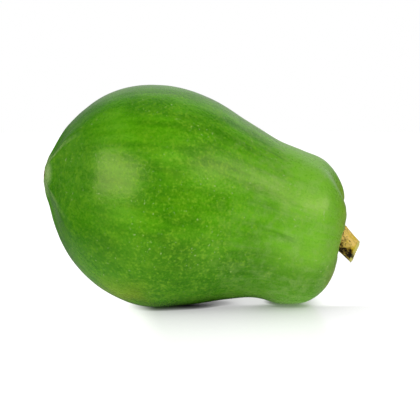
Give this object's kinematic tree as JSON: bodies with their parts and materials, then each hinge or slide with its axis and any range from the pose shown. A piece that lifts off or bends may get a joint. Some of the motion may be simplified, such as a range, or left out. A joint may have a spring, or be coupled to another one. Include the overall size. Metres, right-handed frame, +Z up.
{
  "type": "green papaya",
  "caption": "Whole unripe papaya lying on its side: pear-shaped green fruit with faint carpel ridges, a lobed stem hollow and a short cut stalk.",
  "frame": {"origin": "on the surface that the fruit lies on, under the middle of its box", "axes": "+X along the fruit's length, from the blossom end to the stalk; +Y away from the side that the picture shows; +Z up"},
  "size_m": [0.2042, 0.1422, 0.1412],
  "materials": {
    "green_skin": "smooth waxy green fruit skin, semi-gloss, finely speckled with paler yellow green",
    "dry_stalk": "matt, dry, ribbed tan stalk with dark brown blotches and a pale fibrous cut"
  },
  "bodies": {
    "root": {"fruit": "green_skin", "stalk": "dry_stalk"}
  },
  "joints": []
}
